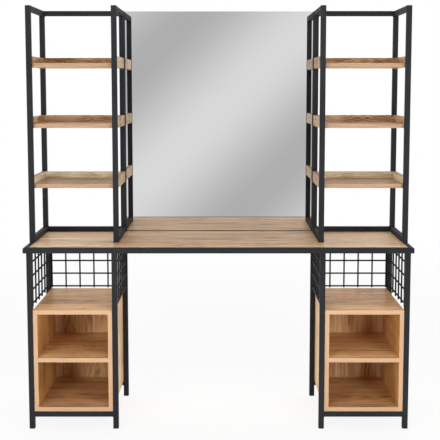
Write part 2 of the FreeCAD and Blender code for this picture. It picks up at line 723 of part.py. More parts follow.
def build_mirror():
    """Glass bonded to a backing board, which screws to the inner rear posts through spacers. A ledge
    on the worktop's rear rail carries it."""
    full_width = "(station_width - 2 * (tower_width - tube_size))"
    glass_width = "(station_width - 2 * tower_width + 2 * mirror_lap)"
    height = f"(station_height - {MIRROR_FOOT})"
    middle_z = f"{MIRROR_FOOT} + {height} / 2"
    glass_y = f"{GLASS_FRONT} + glass_thickness / 2"
    glass = box("mirror_pane", (glass_width, "glass_thickness", height), ("0", glass_y, middle_z))
    node("mirror_glass", glass)

    screws = []
    spacers = []
    post_bores = {side: [] for side in SIDES}
    screw_length = "(backing_thickness + mirror_gap + glass_thickness + tube_wall + mirror_screw_grip)"
    rise = f"(({height} - 2 * mirror_screw_edge) / {MIRROR_SCREW_ROWS - 1})"
    for side, sign in SIDES.items():
        for row in range(MIRROR_SCREW_ROWS):
            name = f"{side}_mirror_{row}"
            z = f"{MIRROR_FOOT} + mirror_screw_edge + {row} * {rise}"
            seat = (f"{sign} * {TOWER_INNER_POST}", STATION_FULL_DEPTH, z)
            screw, bore = sunk_screw(name + "_screw", "mirror_screw", screw_length, seat, -Y)
            start = (seat[0], "station_depth", z)
            spacer = rod(name + "_sleeve", "spacer_radius", "mirror_gap + glass_thickness", start, Y)
            spacers.append(cut(name + "_spacer", spacer, [bore]))
            screws.append(screw)
            post_bores[side].append(bore)
    board_y = f"{BACKING_FRONT} + backing_thickness / 2"
    board = box("mirror_backing_blank", (full_width, "backing_thickness", height), ("0", board_y, middle_z))
    all_bores = post_bores["left"] + post_bores["right"]
    node("mirror_backing_board", cut("mirror_backing_cut", board, all_bores))
    node("mirror_spacers", group("spacer_set", spacers))

    ledge_bores = []
    for index in range(LEDGE_SCREWS):
        x = f"{index - (LEDGE_SCREWS - 1) / 2} * ledge_screw_pitch"
        seat = (x, "station_depth + ledge_wall", f"{MIRROR_FOOT} - ledge_leg + ledge_screw_rise")
        length = "ledge_wall + tube_wall + ledge_screw_grip"
        screw, bore = pan_screw(f"ledge_screw_{index}", "ledge_screw", length, seat, -Y)
        screws.append(screw)
        ledge_bores.append(bore)
    reach = "(mirror_gap + glass_thickness + backing_thickness)"
    upright_z = f"{MIRROR_FOOT} - ledge_leg / 2"
    upright = box("ledge_upright", ("ledge_length", "ledge_wall", "ledge_leg"),
                  ("0", "station_depth + ledge_wall / 2", upright_z))
    shelf = box("ledge_shelf", ("ledge_length", reach, "ledge_wall"),
                ("0", f"station_depth + {reach} / 2", f"{MIRROR_FOOT} - ledge_wall / 2"))
    node("mirror_ledge", cut("ledge_cut", fused("ledge_angle", [upright, shelf]), ledge_bores))
    node("mirror_screws", group("mirror_screw_set", screws))
    return post_bores, ledge_bores


def check_document():
    """Stops if any object failed to build."""
    for item in document.Objects:
        if "Invalid" in item.State or "Error" in item.State:
            raise RuntimeError(f"{item.Label} did not build: {item.State}")
    for item in nodes:
        if item.Shape.isNull() or not item.Shape.isValid() or not item.Shape.Solids:
            raise RuntimeError(f"{item.Label} has no valid solid")


leg_bores = build_legs()
tower_bores = build_tower_bolts()
mirror_post_bores, rail_bores = build_mirror()
build_worktop(leg_bores, tower_bores, rail_bores)
build_pedestals()
build_towers(tower_bores, mirror_post_bores)
document.recompute()
check_document()

os.makedirs("parts", exist_ok=True)
for item in nodes:
    item.Shape.exportStep(f"parts/{item.Label}.step")
print(f"{len(nodes)} sub-parts, {sum(len(item.Shape.Solids) for item in nodes)} solids")
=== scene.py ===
"""The looks of a free-standing two-place salon station: black square tube, oak decor boards with light
edge bands, wire panels and a tall mirror. Metres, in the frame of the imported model: X to the right, Y to
the back, Z up, the mirror facing -Y."""
import math
from itertools import count

import bmesh
import bpy
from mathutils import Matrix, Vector


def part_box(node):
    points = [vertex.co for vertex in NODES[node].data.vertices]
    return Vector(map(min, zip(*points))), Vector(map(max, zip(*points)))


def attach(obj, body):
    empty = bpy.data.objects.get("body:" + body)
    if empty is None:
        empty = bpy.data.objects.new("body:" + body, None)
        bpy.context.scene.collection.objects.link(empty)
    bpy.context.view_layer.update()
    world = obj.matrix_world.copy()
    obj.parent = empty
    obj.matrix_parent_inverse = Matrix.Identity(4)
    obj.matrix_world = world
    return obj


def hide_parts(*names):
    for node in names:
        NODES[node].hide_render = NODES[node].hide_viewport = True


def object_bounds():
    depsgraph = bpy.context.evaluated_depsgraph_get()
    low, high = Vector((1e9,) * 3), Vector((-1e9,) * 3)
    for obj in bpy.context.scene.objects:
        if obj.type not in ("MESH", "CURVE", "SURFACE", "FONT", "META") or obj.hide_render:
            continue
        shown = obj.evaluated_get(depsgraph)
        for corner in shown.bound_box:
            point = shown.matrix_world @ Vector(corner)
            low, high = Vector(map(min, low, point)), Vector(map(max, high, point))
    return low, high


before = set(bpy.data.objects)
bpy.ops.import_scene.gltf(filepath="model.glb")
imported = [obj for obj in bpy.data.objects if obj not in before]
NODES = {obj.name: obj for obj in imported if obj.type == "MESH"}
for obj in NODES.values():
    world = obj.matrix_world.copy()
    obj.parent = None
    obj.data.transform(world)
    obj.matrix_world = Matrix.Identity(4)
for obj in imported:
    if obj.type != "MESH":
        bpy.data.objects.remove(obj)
CAD_LOW, CAD_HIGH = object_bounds()

# Camera, at a standing person's eyes in front of the middle of the station
CAMERA_DISTANCE = 4.083  # from the foremost face
CAMERA_SIDE = 0.021
CAMERA_HEIGHT = 1.60
CAMERA_TILT = math.radians(5.41)
CAMERA_LENS = 73.7
CAMERA_SENSOR = 36.0
CAMERA_SHIFT = (-0.007, -0.11)

SIDES = {"left": -1, "right": 1}
TRAY_LEVELS = ("lower", "middle", "upper")
X, Y, Z = Vector((1, 0, 0)), Vector((0, 1, 0)), Vector((0, 0, 1))

# Sizes of the stock, and how far sharp edges are rounded
TUBE = 0.025
BOARD_THICKNESS = 0.020
BOARD_EDGE = 0.0006
GLASS_EDGE = 0.0012
PLATE_EDGE = 0.0005
EDGE_STEPS = 2
EDGE_ANGLE = math.radians(60)
SMOOTH_ANGLE = math.radians(40)

# Colours, as sRGB from 0 to 255
OAK_LIGHT = (222, 188, 149)
OAK_MIDDLE = (199, 162, 121)
OAK_DARK = (148, 107, 70)
OAK_GRAIN = (136, 95, 61)
OAK_CRACK = (80, 50, 30)
BAND_TONES = ((209, 172, 137), (198, 158, 122))  # light and dark
TRAY_BAND_TONES = ((189, 157, 128), (158, 125, 96))
COAT_DARK = (35, 36, 40)
COAT_LIGHT = (42, 43, 47)
PANEL_DARK = (50, 49, 48)
PANEL_LIGHT = (60, 59, 57)
PLASTIC_DARK = (38, 38, 40)
PLASTIC_LIGHT = (46, 46, 48)
STEEL_DARK = (176, 178, 182)
STEEL_LIGHT = (205, 206, 208)
BEECH_DARK = (196, 160, 118)
BEECH_LIGHT = (222, 190, 150)
SILVER_LOW = (244, 244, 244)
SILVER_HIGH = (249, 249, 250)
GLASS_GREEN = (96, 128, 116)
GLASS_DEEP = (60, 92, 82)
FLOOR_LOW = (238, 238, 238)
FLOOR_HIGH = (243, 243, 243)
WHITE = (1.0, 1.0, 1.0, 1.0)  # linear

# A face looks along an axis if its normal has at least this share of it
FACING = 0.7
MIRROR_FACING = 0.5  # takes in half of the glass's rounded edge


def colour(tone):
    """A linear colour from an sRGB one of 0 to 255."""
    shares = [part / 255 for part in tone]
    linear = [share / 12.92 if share <= 0.04045 else ((share + 0.055) / 1.055) ** 2.4 for share in shares]
    return (*linear, 1.0)


class Tree:
    """Adds nodes to a node tree, with values or sockets as their inputs."""

    def __init__(self, tree):
        self.tree = tree
        tree.nodes.clear()

    def add(self, kind, inputs=None, **settings):
        """One node; inputs maps the names or numbers of its sockets to values or to other sockets."""
        node = self.tree.nodes.new("ShaderNode" + kind)
        for name, value in settings.items():
            setattr(node, name, value)
        for key, value in (inputs or {}).items():
            if isinstance(value, bpy.types.NodeSocket):
                self.tree.links.new(value, node.inputs[key])
            else:
                node.inputs[key].default_value = value
        return node

    def math(self, operation, *values):
        """A sum on numbers."""
        return self.add("Math", dict(enumerate(values)), operation=operation).outputs[0]

    def vector(self, operation, *values):
        """A sum on vectors: a dot product and a length are numbers."""
        node = self.add("VectorMath", dict(enumerate(values)), operation=operation)
        return node.outputs["Value" if operation in ("DOT_PRODUCT", "LENGTH") else "Vector"]

    def split(self, vector):
        """A vector's three parts, or a colour's."""
        return self.add("SeparateXYZ", {0: vector}).outputs

    def join(self, x, y, z):
        """A vector from its three parts."""
        return self.add("CombineXYZ", {0: x, 1: y, 2: z}).outputs[0]

    def noise(self, vector, cells, detail=3.0, roughness=0.55):
        """Noise with so many cells to a metre along each axis."""
        spot = self.vector("MULTIPLY", vector, cells)
        inputs = {"Vector": spot, "Scale": 1.0, "Detail": detail, "Roughness": roughness, "Distortion": 0.0}
        return self.add("TexNoise", inputs).outputs["Fac"]

    def step(self, value, low, high):
        """A soft step from 0 at low to 1 at high."""
        inputs = {"Value": value, "From Min": low, "From Max": high}
        return self.add("MapRange", inputs, interpolation_type="SMOOTHSTEP").outputs["Result"]

    def fall(self, value, low, high):
        """A soft step from 1 at low to 0 at high."""
        return self.math("SUBTRACT", 1.0, self.step(value, low, high))

    def mix(self, share, first, second, blend="MIX"):
        """A colour between two, or one blended with the other."""
        inputs = {0: share, 6: first, 7: second}
        return self.add("Mix", inputs, data_type="RGBA", blend_type=blend).outputs[2]

    def mix_value(self, share, first, second):
        """A number between two."""
        return self.add("Mix", {0: share, 2: first, 3: second}, data_type="FLOAT").outputs[0]

    def object_spot(self):
        """The point's place in the object, in metres."""
        return self.add("TexCoord").outputs["Object"]

    def normal(self):
        """The face's own normal, one socket for each axis."""
        return self.split(self.add("NewGeometry").outputs["True Normal"])

    def bump(self, height, distance):
        """The normal of a relief that is so many metres deep at height 1."""
        return self.add("Bump", {"Height": height, "Distance": distance, "Strength": 1.0}).outputs[0]

    def output(self, shader, kind="Material"):
        """The output of a material or a world."""
        end = self.add("Output" + kind)
        self.tree.links.new(shader.outputs[0], end.inputs[0])

    def finish(self, **inputs):
        """The principled shader and the output."""
        named = {name.replace("_", " "): value for name, value in inputs.items()}
        self.output(self.add("BsdfPrincipled", named))


def material(name):
    """A new material and its empty tree."""
    made = bpy.data.materials.new(name)
    made.use_nodes = True
    return made, Tree(made.node_tree)


# ---- Oak decor -------------------------------------------------------------------------------------

PLANK_WIDTH = 0.125
SEAM_WIDTH = 0.0008
PLANK_STRETCHES = 9.0  # metres of pattern that the planks' own stretches are taken from
RING_PITCH = 0.011
RING_WOBBLE = 5.0  # radians
PITH_SWING = 0.1  # metres across the plank, from one plank to the next
PITH_DEPTHS = (0.26, -0.07)  # metres: by how much the pith's depth changes, and from where
PITH_STEP = 7.3  # from one plank's stretch of the pith's noise to the next one's
SLOW_BEND, QUICK_BEND = 0.036, 0.006  # metres
KNOT_PITCH = (1.5, 5.0)  # cells to a metre along and across the grain
KNOT_SIZE = (0.020, 0.008)
KNOT_SHARE = 0.42
KNOT_SPREAD = 0.8  # how far from the middle of its cell a knot may lie
KNOT_RAGGED = 1.1  # how much its rim goes in and out, in knot sizes
KNOT_PUSH = -0.85  # how far the grain moves out of a knot's way
KNOT_CORE, KNOT_HALO = (0.3, 1.0), (0.6, 4.2)  # where each fades, in knot sizes
HALO_CRACKS = 0.7  # how strong the cracks round a knot are

# Cells to a metre of the decor's noises: along the grain, across it and through the board
DECOR_CELLS = {
    "knot_rim": (60.0, 150.0, 150.0),
    "slow_bend": (1.5, 8.0, 8.0),
    "quick_bend": (7.0, 36.0, 36.0),
    "pith": (1.1, 1.0, 1.0),
    "ring_wobble": (5.0, 60.0, 60.0),
    "ring_patches": (2.5, 14.0, 14.0),
    "broad": (2.6, 30.0, 30.0),
    "streaks": (6.0, 150.0, 150.0),
    "fibres": (16.0, 620.0, 620.0),
    "cloud": (1.6, 6.0, 6.0),
    "dashes": (13.0, 230.0, 230.0),
    "crack_lines": (2.4, 42.0, 42.0),
    "crack_patches": (3.4, 12.0, 12.0),
    "pores": (45.0, 1500.0, 1500.0),
}
# From where to where in its noise a form grows from nothing to full
DECOR_STEPS = {
    "ring_patches": (0.36, 0.62),
    "broad": (0.3, 0.7),
    "streaks": (0.28, 0.72),
    "fibres": (0.25, 0.75),
    "cloud": (0.3, 0.7),
    "dashes": (0.55, 0.68),
    "crack_patches": (0.57, 0.68),
    "pores": (0.62, 0.72),
}
CRACK_LINE = (0.004, 0.02)  # how far from its noise's middle a crack is whole, and where it has ended
# How much each part of the figure adds to it, and from where to where in the figure each tone takes over
FIGURE_SHARES = {"broad": 0.26, "rings": 0.27, "cloud": 0.2, "streaks": 0.3, "fibres": 0.18, "halo": 0.16,
                 "planks": 0.14}
MIDDLE_STEP, DARK_STEP = (0.28, 0.6), (0.52, 0.92)
# How much each mark covers the tone under it
MARK_COVERS = {"dashes": 0.26, "cracks": 0.62, "knots": 0.75, "seams": 0.4, "pores": 0.36}
BOARD_ROUGHNESS, FIBRE_ROUGHNESS = 0.31, 0.16
STREAK_HEIGHT, FIBRE_HEIGHT, CRACK_HEIGHT = 0.5, 0.4, 0.7  # shares of the relief
BOARD_RELIEF = 0.00012


def oak_group():
    """Oak decor from a point in grain coordinates: along the grain, across it and through the board."""
    group = bpy.data.node_groups.new("oak_decor", "ShaderNodeTree")
    group.interface.new_socket("Grain", in_out="INPUT", socket_type="NodeSocketVector")
    group.interface.new_socket("Color", in_out="OUTPUT", socket_type="NodeSocketColor")
    group.interface.new_socket("Roughness", in_out="OUTPUT", socket_type="NodeSocketFloat")
    group.interface.new_socket("Height", in_out="OUTPUT", socket_type="NodeSocketFloat")
    t = Tree(group)
    grain = group.nodes.new("NodeGroupInput").outputs[0]
    along, across, through = t.split(grain)

    def noise(name, at, **settings):
        return t.noise(at, DECOR_CELLS[name], **settings)

    # the decor's planks: each has its own stretch of the pattern and its own tone
    places = t.math("DIVIDE", across, PLANK_WIDTH)
    index = t.math("FLOOR", places)
    chance = t.add("TexWhiteNoise", {"W": index}, noise_dimensions="1D").outputs["Value"]
    share = t.math("FRACT", places)
    edge = t.math("MINIMUM", share, t.math("SUBTRACT", 1.0, share))
    seam = t.fall(edge, 0.0, SEAM_WIDTH / PLANK_WIDTH)
    along = t.math("MULTIPLY_ADD", chance, PLANK_STRETCHES, along)
    spot = t.join(along, across, through)

    # knots: one in some cells of a loose grid, long in the grain, with the grain flowing round them
    cells = t.vector("MULTIPLY", t.join(along, across, 0.0), (*KNOT_PITCH, 1.0))
    inputs = {"Vector": cells, "Scale": 1.0, "Randomness": KNOT_SPREAD}
    cell = t.add("TexVoronoi", inputs, voronoi_dimensions="3D")
    offset = t.vector("SUBTRACT", cells, cell.outputs["Position"])
    knot_size = [size * pitch for size, pitch in zip(KNOT_SIZE, KNOT_PITCH)]
    from_knot = t.vector("DIVIDE", offset, (*knot_size, 1.0))
    present = t.math("LESS_THAN", t.split(cell.outputs["Color"])[0], KNOT_SHARE)
    ragged = t.math("MULTIPLY_ADD", noise("knot_rim", spot), KNOT_RAGGED, -KNOT_RAGGED / 2)
    reach = t.math("ADD", t.vector("LENGTH", from_knot), ragged)
    core = t.math("MULTIPLY", present, t.fall(reach, *KNOT_CORE))
    halo = t.math("MULTIPLY", present, t.fall(reach, *KNOT_HALO))
    aside = t.math("MULTIPLY", t.split(offset)[1], KNOT_PUSH / KNOT_PITCH[1])

    # slow and quick bends of the grain
    slow = t.math("SUBTRACT", noise("slow_bend", spot, detail=2.0), 0.5)
    quick = t.math("SUBTRACT", noise("quick_bend", spot, detail=2.0), 0.5)
    bend = t.math("MULTIPLY_ADD", slow, SLOW_BEND, t.math("MULTIPLY", quick, QUICK_BEND))
    bend = t.math("MULTIPLY_ADD", aside, halo, bend)
    bent = t.join(along, t.math("ADD", across, bend), through)

    # growth rings, cut flat: the pith lies under the plank and comes nearer and goes deeper along it
    heart = t.math("MULTIPLY", t.math("SUBTRACT", share, 0.5), PLANK_WIDTH)
    pith = t.math("MULTIPLY_ADD", chance, PITH_SWING, -PITH_SWING / 2)
    heart = t.math("ADD", pith, t.math("ADD", heart, bend))
    under = noise("pith", t.join(along, t.math("MULTIPLY", index, PITH_STEP), 0.0), detail=1.0)
    depth = t.math("MULTIPLY_ADD", under, *PITH_DEPTHS)
    radius = t.vector("LENGTH", t.join(heart, depth, 0.0))
    wobble = noise("ring_wobble", bent, detail=2.0)
    turns = t.math("MULTIPLY", radius, 2 * math.pi / RING_PITCH)
    phase = t.math("MULTIPLY_ADD", wobble, RING_WOBBLE, turns)
    rings = t.math("MULTIPLY_ADD", t.math("SINE", phase), 0.5, 0.5)
    patches = t.step(noise("ring_patches", spot), *DECOR_STEPS["ring_patches"])
    rings = t.math("MULTIPLY", rings, patches)

    noises = {
        "broad": noise("broad", bent, detail=4.0, roughness=0.65),
        "streaks": noise("streaks", bent, detail=3.0, roughness=0.6),
        "fibres": noise("fibres", bent, detail=2.0),
        "cloud": noise("cloud", spot, detail=3.0),
        "dashes": noise("dashes", bent, detail=2.0),
        "crack_patches": noise("crack_patches", spot, detail=1.0),
        "pores": noise("pores", bent, detail=1.0),
    }
    forms = {name: t.step(value, *DECOR_STEPS[name]) for name, value in noises.items()}
    forms.update(rings=rings, halo=halo, planks=t.math("SUBTRACT", chance, 0.5))
    figure = 0.0
    for name, part in FIGURE_SHARES.items():
        figure = t.math("MULTIPLY_ADD", forms[name], part, figure)

    line = t.math("ABSOLUTE", t.math("SUBTRACT", noise("crack_lines", bent, detail=2.0), 0.5))
    hold = t.math("MAXIMUM", forms["crack_patches"], t.math("MULTIPLY", halo, HALO_CRACKS))
    cracks = t.math("MULTIPLY", t.fall(line, *CRACK_LINE), hold)

    tone = t.mix(t.step(figure, *MIDDLE_STEP), colour(OAK_LIGHT), colour(OAK_MIDDLE))
    tone = t.mix(t.step(figure, *DARK_STEP), tone, colour(OAK_DARK))
    marks = {"dashes": forms["dashes"], "cracks": cracks, "knots": core, "seams": seam,
             "pores": forms["pores"]}
    for name, mark in marks.items():
        dark = OAK_GRAIN if name == "dashes" else OAK_CRACK
        tone = t.mix(t.math("MULTIPLY", mark, MARK_COVERS[name]), tone, colour(dark))

    fibres = noises["fibres"]
    roughness = t.math("MULTIPLY_ADD", fibres, FIBRE_ROUGHNESS, BOARD_ROUGHNESS)
    height = t.math("MULTIPLY", fibres, FIBRE_HEIGHT)
    height = t.math("MULTIPLY_ADD", noises["streaks"], STREAK_HEIGHT, height)
    hollows = t.math("ADD", t.math("MULTIPLY", cracks, CRACK_HEIGHT), forms["pores"])
    height = t.math("SUBTRACT", height, hollows)
    out = group.nodes.new("NodeGroupOutput")
    for socket, value in enumerate((tone, roughness, height)):
        group.links.new(value, out.inputs[socket])
    return group


OAK = oak_group()
GRAIN_ORDER = {"X": (0, 1, 2), "Y": (1, 0, 2), "Z": (2, 0, 1)}
SEED_STEP = (1.37, 0.413, 0.291)  # metres of decor from one seed to the next
TURNED_SEED = 3

# Tints of the boards: factors of the decor's red, green and blue, and the power that deepens it first.
# All but the worktop's also paint light and shade into the boards.
WORKTOP_TINT = (1.24, 1.28, 1.33, 1.0)
# partly painted light and shade: a lighter top, which the worktop shades, and more golden boards inside for
# bounced light
CABINET_TINTS_AND_PAINTED_LIGHT = {
    "top": (1.24, 1.04, 0.71, 0.85),
    "bottom": (1.0, 0.88, 0.74, 1.0),
    "shelf": (1.2, 1.1, 0.9, 0.9),
    "back": (1.08, 1.02, 0.86, 0.85),
    "inner_side": (1.04, 0.85, 0.54, 1.0),
    "outer_side": (1.04, 0.85, 0.54, 1.0),
}
UPRIGHT_GRAIN = ("back", "inner_side", "outer_side")
# painted light: the outer faces of the cabinets' side boards are made lighter and paler
OUTSIDE_PAINTED_LIGHT = (1.05, 0.92, 0.67, 0.6)
# painted light and shade: the lower trays are made lighter and paler and the upper ones darker, as light
# reaches each level
TRAY_LEVEL_PAINTED_LIGHT = {
    "lower": (1.24, 1.53, 1.74, 0.8),
    "middle": (1.12, 1.2, 1.28, 1.1),
    "upper": (1.0, 0.97, 0.93, 1.1),
}
# painted shade: the trays' upward faces are made darker
TRAY_FLOOR_PAINTED_SHADE = (0.7, 0.61, 0.46, 1.1)
# painted light on the outer faces of the trays' side boards, one tint for all levels
TRAY_OUTSIDE_PAINTED_LIGHT = (1.0, 1.02, 1.0, 0.8)
BOARD_GLOSS, TRAY_GLOSS = 0.42, 0.25  # specular levels
OUTER_REACH = 0.1  # metres from a cabinet's or tray's middle

# The light edge band
BAND_STREAKS = (6.0, 320.0)  # cells to a metre along the band and across it
BAND_SPECKS = (90.0, 1400.0)
BAND_STREAK_SHARE, BAND_SPECK_SHARE = 0.65, 0.35
BAND_STEP, BAND_PORE_STEP = (0.32, 0.68), (0.66, 0.74)
BAND_PORE_COVER = 0.12
BAND_ROUGHNESS = 0.5

# The flamed figure of the trays' back boards
FLAME_SHARES = {"lower": 0.3, "middle": 0.95, "upper": 0.8}
FLAME_PITCH = 0.012
FLAME_TONE = (0.46, 0.36, 0.28, 1.0)
FLAME_SWELL_CELLS = (15.0, 15.0, 9.0)
FLAME_RAGGED_CELLS = (70.0, 70.0, 200.0)
FLAME_PATCH_CELLS = (4.0, 4.0, 1.0)
FLAME_SWELL, FLAME_RAGGED = 4.5, 0.6  # in pitches
FLAME_LINE_STEP, FLAME_PATCH_STEP = (0.4, 0.95), (0.4, 0.56)


def grain_point(t, axis, seed):
    """The object's point in grain coordinates, moved to a stretch of decor of its own."""
    parts = t.split(t.object_spot())
    turned = t.join(*(parts[index] for index in GRAIN_ORDER[axis]))
    return t.vector("ADD", turned, [step * seed for step in SEED_STEP])


def band_tone(t, light, dark, upright):
    """The light edge band: fine streaks and short pores along a level or an upright edge."""
    spot = t.object_spot()

    def cells(along, across):
        return (across, across, along) if upright else (along, along, across)

    streaks = t.noise(spot, cells(*BAND_STREAKS), detail=3.0)
    specks = t.noise(spot, cells(*BAND_SPECKS), detail=1.0)
    share = t.math("MULTIPLY_ADD", streaks, BAND_STREAK_SHARE, t.math("MULTIPLY", specks, BAND_SPECK_SHARE))
    tone = t.mix(t.step(share, *BAND_STEP), colour(light), colour(dark))
    pores = t.math("MULTIPLY", t.step(specks, *BAND_PORE_STEP), BAND_PORE_COVER)
    return t.mix(pores, tone, colour(OAK_GRAIN))


def tint_and_painted_light(t, tone, tint_and_light):
    """A decor tone deepened and multiplied by tinting factors, which for most boards are partly painted
    light and shade.
    """
    *factors, depth = tint_and_light
    deepened = t.add("Gamma", {0: tone, 1: depth}).outputs[0]
    return t.mix(1.0, deepened, (*factors, 1.0), blend="MULTIPLY")


def flamed(t, tone, middle, most, seed):
    """Pointed ovals of dark grain, one after another along the middle of a narrow upright board."""
    spot = t.object_spot()
    along = t.vector("ADD", spot, (seed, 0.0, 0.0))
    rise = t.math("DIVIDE", t.math("ABSOLUTE", t.math("SUBTRACT", t.split(spot)[2], middle)), FLAME_PITCH)
    swell = t.noise(along, FLAME_SWELL_CELLS, detail=1.0)
    ragged = t.noise(along, FLAME_RAGGED_CELLS, detail=2.0)
    phase = t.math("MULTIPLY_ADD", swell, FLAME_SWELL, t.math("MULTIPLY_ADD", ragged, FLAME_RAGGED, rise))
    lines = t.math("MULTIPLY_ADD", t.math("SINE", t.math("MULTIPLY", phase, 2 * math.pi)), 0.5, 0.5)
    patches = t.step(t.noise(along, FLAME_PATCH_CELLS, detail=1.0), *FLAME_PATCH_STEP)
    hold = t.math("MULTIPLY", t.step(lines, *FLAME_LINE_STEP), t.math("MULTIPLY", patches, most))
    share = t.math("MULTIPLY", front_faces(t), hold)
    return t.mix(share, tone, t.mix(1.0, tone, FLAME_TONE, blend="MULTIPLY"))


def oak_material(name, axis, seed, tint_and_light, band=None, turned=None, painted_light_faces=(), flame=None, tones=BAND_TONES,
                 gloss=BOARD_GLOSS):
    """Oak decor with its grain along an axis, deepened and multiplied by tinting factors, which for the
    cabinets' and trays' boards are partly painted light and shade. band and turned are functions of the
    tree that give the share of edge band and of boards whose grain runs front to back; the list of picked
    faces pairs such a function with tinting factors that paint light and shade on the faces it picks. flame
    holds the height of the middle of a narrow back board with a flamed figure, and the figure's strength."""
    made, t = material(name)
    point = grain_point(t, axis, seed)
    if turned:
        other = grain_point(t, "Y", seed + TURNED_SEED)
        point = t.add("Mix", {0: turned(t), 4: point, 5: other}, data_type="VECTOR").outputs[1]
    oak = t.add("Group", node_tree=OAK)
    t.tree.links.new(point, oak.inputs[0])
    decor, roughness, height = oak.outputs
    tone = tint_and_painted_light(t, decor, tint_and_light)
    if flame:
        tone = flamed(t, tone, *flame, seed)
    # painted light and shade: each pair's tinting factors on the faces it picks
    for picked, painted_tint in painted_light_faces:
        tone = t.mix(picked(t), tone, tint_and_painted_light(t, decor, painted_tint))
    if band:
        share = band(t)
        tone = t.mix(share, tone, band_tone(t, *tones, axis == "Z"))
        roughness = t.mix_value(share, roughness, BAND_ROUGHNESS)
    relief = t.bump(height, BOARD_RELIEF)
    t.finish(Base_Color=tone, Roughness=roughness, Normal=relief, Specular_IOR_Level=gloss)
    return made


def front_faces(t):
    """1 on faces that look to the front."""
    return t.math("LESS_THAN", t.normal()[1], -FACING)


def front_and_rear_faces(t):
    """1 on faces that look to the front or the back."""
    return t.math("GREATER_THAN", t.math("ABSOLUTE", t.normal()[1]), FACING)


def upward_faces(t):
    """1 on faces that look up."""
    return t.math("GREATER_THAN", t.normal()[2], FACING)


def outer_faces(middle):
    """1 on faces that look to the left or the right, away from a cabinet's or tray's middle."""
    def share(t):
        from_middle = t.math("SUBTRACT", t.split(t.object_spot())[0], middle)
        return t.math("GREATER_THAN", t.math("MULTIPLY", from_middle, t.normal()[0]), OUTER_REACH)
    return share


# ---- Other materials -------------------------------------------------------------------------------

SLOW_CELLS = (3.0, 3.0, 3.0)
SLOW_SHARE, FINE_SHARE = 0.6, 0.4
SPECKLE_STEP, BRUSHED_STEP = (0.35, 0.65), (0.3, 0.7)
SLOW_ROUGHNESS, FINE_ROUGHNESS = 0.14, 0.08
BRUSHED_ROUGHNESS, BRUSHED_SWING = 0.22, 0.25
BRUSHED_RELIEF = 0.00003
HAZE_CELLS = (2.2, 2.2, 2.6)
HAZE_STEP = (0.45, 0.8)
HAZE_ROUGHNESS = 0.02
GLASS_ROUGHNESS = 0.18


def speckled(name, dark, light, roughness, grain, relief, **settings):
    """A fine even surface: a slow change of tone, and a grain that also dimples it."""
    made, t = material(name)
    spot = t.object_spot()
    slow = t.noise(spot, SLOW_CELLS, detail=3.0)
    fine = t.noise(spot, (grain, grain, grain), detail=2.0)
    share = t.math("MULTIPLY_ADD", slow, SLOW_SHARE, t.math("MULTIPLY", fine, FINE_SHARE))
    tone = t.mix(t.step(share, *SPECKLE_STEP), colour(dark), colour(light))
    base = roughness - (SLOW_ROUGHNESS + FINE_ROUGHNESS) / 2
    rough = t.math("MULTIPLY_ADD", slow, SLOW_ROUGHNESS, t.math("MULTIPLY_ADD", fine, FINE_ROUGHNESS, base))
    t.finish(Base_Color=tone, Roughness=rough, Normal=t.bump(fine, relief), **settings)
    return made


def brushed(name, dark, light, cells, **settings):
    """Streaked metal or bare wood."""
    made, t = material(name)
    streaks = t.noise(t.object_spot(), cells, detail=3.0)
    tone = t.mix(t.step(streaks, *BRUSHED_STEP), colour(dark), colour(light))
    rough = t.math("MULTIPLY_ADD", streaks, BRUSHED_SWING, BRUSHED_ROUGHNESS)
    t.finish(Base_Color=tone, Roughness=rough, Normal=t.bump(streaks, BRUSHED_RELIEF), **settings)
    return made


def mirror_material():
    """Silvered glass: its front is the mirror, its edges show the green of the glass."""
    made, t = material("mirror_silver")
    haze = t.noise(t.object_spot(), HAZE_CELLS, detail=4.0)
    face = t.math("LESS_THAN", t.normal()[1], -MIRROR_FACING)
    silver = t.mix(haze, colour(SILVER_LOW), colour(SILVER_HIGH))
    green = t.mix(haze, colour(GLASS_DEEP), colour(GLASS_GREEN))
    hazy = t.math("MULTIPLY", t.step(haze, *HAZE_STEP), HAZE_ROUGHNESS)
    rough = t.mix_value(face, GLASS_ROUGHNESS, hazy)
    t.finish(Base_Color=t.mix(face, green, silver), Metallic=face, Roughness=rough)
    return made


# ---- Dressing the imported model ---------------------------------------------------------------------

def dress(name, made, edge=None):
    """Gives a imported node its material, and softens its sharp edges."""
    node = NODES[name]
    node.data.materials.clear()
    node.data.materials.append(made)
    if edge:
        bevel = node.modifiers.new("soft_edges", "BEVEL")
        bevel.width = edge
        bevel.segments = EDGE_STEPS
        bevel.limit_method = "ANGLE"
        bevel.angle_limit = EDGE_ANGLE
        bevel.harden_normals = False


def dress_cabinet(side, seeds):
    """A cabinet: upright grain in its back and sides, edge band on its front edges and behind its top."""
    low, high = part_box(f"{side}_cabinet_top")
    outside = outer_faces((low.x + high.x) / 2)
    bands = {"back": None, "top": front_and_rear_faces}
    for part, tint_and_light in CABINET_TINTS_AND_PAINTED_LIGHT.items():
        name = f"{side}_cabinet_{part}"
        axis = "Z" if part in UPRIGHT_GRAIN else "X"
        # painted light on the outer faces of the side boards
        painted_light_faces = [(outside, OUTSIDE_PAINTED_LIGHT)] if part.endswith("side") else []
        band = bands.get(part, front_faces)
        made = oak_material("oak_" + name, axis, next(seeds), tint_and_light, band, painted_light_faces=painted_light_faces)
        dress(name, made, BOARD_EDGE)


